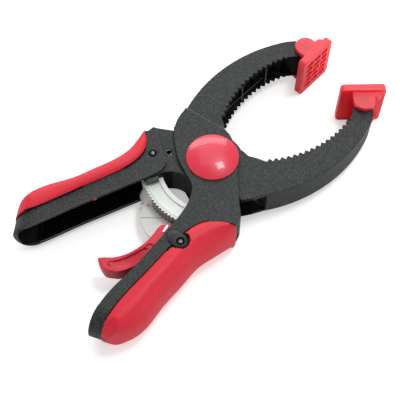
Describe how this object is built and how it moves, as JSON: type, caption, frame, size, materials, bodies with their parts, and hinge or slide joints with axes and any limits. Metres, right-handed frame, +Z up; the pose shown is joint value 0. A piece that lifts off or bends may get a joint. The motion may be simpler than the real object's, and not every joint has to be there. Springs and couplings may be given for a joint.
{
  "type": "spring clamp",
  "caption": "Plier-style spring clamp: squeezing the handles closes two curved toothed jaws with swivel pads against a ratchet bar; a trigger lets them spring open.",
  "frame": {"origin": "centre of the bounding box, on the plane that the clamp lies on", "axes": "+X from the handles to the jaws, along the clamp's length; +Y from the lower jaw to the upper jaw; +Z up, along the main pivot"},
  "size_m": [0.2196, 0.0998, 0.0318],
  "materials": {
    "black_nylon": "fine moulded grain",
    "soft_red": "satin soft-touch overmould",
    "gloss_red": "glossy",
    "lever_red": "semi-gloss moulding",
    "pad_red": "satin moulding",
    "off_white": "satin moulding",
    "steel": "drawn and tumbled steel"
  },
  "bodies": {
    "fixed_arm_body": {"fixed_arm": "black_nylon", "fixed_grip": "soft_red", "pivot_bolt": "steel", "pivot_nut": "steel", "pivot_bush": "steel", "pivot_washers": "steel", "front_cap": "gloss_red", "rear_cap": "gloss_red", "jaw_spring": "steel", "trigger_pin": "steel", "trigger_spring": "steel", "fixed_pad_pin": "steel"},
    "moving_arm_body": {"moving_arm": "black_nylon", "handle_shell": "black_nylon", "handle_grip": "soft_red", "handle_rivet": "steel", "bar_pin": "steel", "ratchet_bar": "off_white", "bar_guide": "black_nylon", "moving_pad_pin": "steel"},
    "trigger_body": {"trigger": "lever_red", "pawl": "steel", "pawl_pin": "steel"},
    "fixed_pad_body": {"fixed_pad": "pad_red"},
    "moving_pad_body": {"moving_pad": "pad_red"}
  },
  "joints": [
    {"name": "jaw_pivot", "type": "hinge", "parent": "fixed_arm_body", "child": "moving_arm_body", "pos_m": [0.00166, 0.00154, 0.015], "axis": [0, 0, 1], "range_deg": [0, 15], "stiffness_Nm_per_rad": 0.4, "springref_deg": -34.38},
    {"name": "trigger_pull", "type": "hinge", "parent": "fixed_arm_body", "child": "trigger_body", "pos_m": [-0.04414, -0.02796, 0.015], "axis": [0, 0, 1], "range_deg": [0, 10], "stiffness_Nm_per_rad": 0.06, "springref_deg": -17.19},
    {"name": "upper_pad_swivel", "type": "hinge", "parent": "fixed_arm_body", "child": "fixed_pad_body", "pos_m": [0.09366, 0.02654, 0.015], "axis": [0, 0, 1], "range_deg": [-12, 0]},
    {"name": "lower_pad_swivel", "type": "hinge", "parent": "moving_arm_body", "child": "moving_pad_body", "pos_m": [0.09366, -0.02346, 0.015], "axis": [0, 0, 1], "range_deg": [0, 28]}
  ]
}
